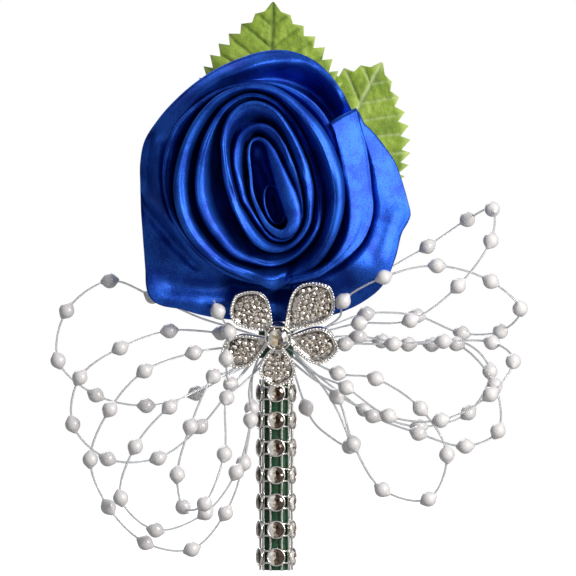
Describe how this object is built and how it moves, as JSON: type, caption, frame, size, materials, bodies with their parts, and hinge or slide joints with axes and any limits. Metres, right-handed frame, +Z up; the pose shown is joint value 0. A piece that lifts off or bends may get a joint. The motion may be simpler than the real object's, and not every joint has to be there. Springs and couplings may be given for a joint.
{
  "type": "flower brooch",
  "caption": "Satin rose brooch with serrated leaves, a rhinestone flower, a stem in rhinestone banding, loops of small pearls on clear line, and a bar pin with a safety catch.",
  "frame": {"origin": "middle of the rear face of the pin's bar, where the bar lies against cloth", "axes": "+Z up towards the top leaf, -Y out of the front of the flower, +X to the right as seen from the front"},
  "size_m": [0.0924, 0.0355, 0.11],
  "materials": {
    "pin_metal": "nickel plated steel",
    "felt": "wool felt",
    "pad_foam": "foam with hot glue",
    "leaf_cloth": "pressed polyester cloth",
    "satin": "satin",
    "stem_wire": "florist's wire",
    "floral_tape": "waxed crepe tape",
    "banding_silver": "silver plated cups with glass stones",
    "flower_silver": "silver plated casting",
    "pave_crystal": "foil backed glass stones",
    "crystal": "foil backed faceted glass",
    "pearl": "pearlescent plastic on clear line"
  },
  "bodies": {
    "brooch": {"pin_bar": "pin_metal", "pin_rivet": "pin_metal", "felt_disc": "felt", "backing_pad": "pad_foam", "leaf_right": "leaf_cloth", "leaf_top": "leaf_cloth", "rose_bud": "satin", "rose_inner_turns": "satin", "rose_outer_turns": "satin", "rose_petal_top": "satin", "rose_petal_left": "satin", "rose_petal_right": "satin", "stem_core": "stem_wire", "stem_tape": "floral_tape", "stem_binding": "floral_tape", "rhinestone_banding": "banding_silver", "flower_setting": "flower_silver", "pave_upper_left": "pave_crystal", "pave_upper_right": "pave_crystal", "pave_right": "pave_crystal", "pave_lower": "pave_crystal", "pave_left": "pave_crystal", "centre_stone": "crystal", "strand_left_1": "pearl", "strand_left_2": "pearl", "strand_left_3": "pearl", "strand_left_4": "pearl", "strand_left_5": "pearl", "strand_left_6": "pearl", "strand_right_1": "pearl", "strand_right_2": "pearl", "strand_right_3": "pearl", "strand_right_4": "pearl", "strand_right_5": "pearl", "strand_right_6": "pearl", "strand_right_7": "pearl"},
    "needle": {"pin_needle": "pin_metal"},
    "rotor": {"pin_rotor": "pin_metal"}
  },
  "joints": [
    {"name": "needle_hinge", "type": "hinge", "parent": "brooch", "child": "needle", "pos_m": [-0.0113, 0.0035, 0], "axis": [0, 0, 1], "range_deg": [0, 100]},
    {"name": "rotor_turn", "type": "hinge", "parent": "brooch", "child": "rotor", "pos_m": [0.0103, 0.0035, 0], "axis": [1, 0, 0], "range_deg": [-100, 0]}
  ]
}
